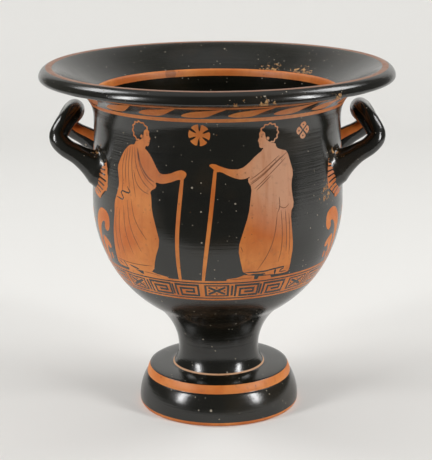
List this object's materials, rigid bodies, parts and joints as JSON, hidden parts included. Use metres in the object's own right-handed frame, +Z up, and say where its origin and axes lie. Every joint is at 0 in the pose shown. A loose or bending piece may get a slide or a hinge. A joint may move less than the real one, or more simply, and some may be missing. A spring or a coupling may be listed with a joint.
{
  "type": "bell krater",
  "caption": "Red-figured bell krater: deep wine-mixing bowl with a flaring mouth and thick rounded lip, upturned loop handles, low stem and disc foot.",
  "frame": {"origin": "centre of the underside, on the plane of the ring that the vase stands on", "axes": "+Z up along the vase's turning axis; the handles point to -X and +X; the main picture faces -Y"},
  "size_m": [0.352, 0.352, 0.352],
  "materials": {
    "glazed_pottery": "black gloss slip over orange-red fired clay, with figures and bands left in the clay colour"
  },
  "bodies": {
    "root": {"krater": "glazed_pottery"}
  },
  "joints": []
}
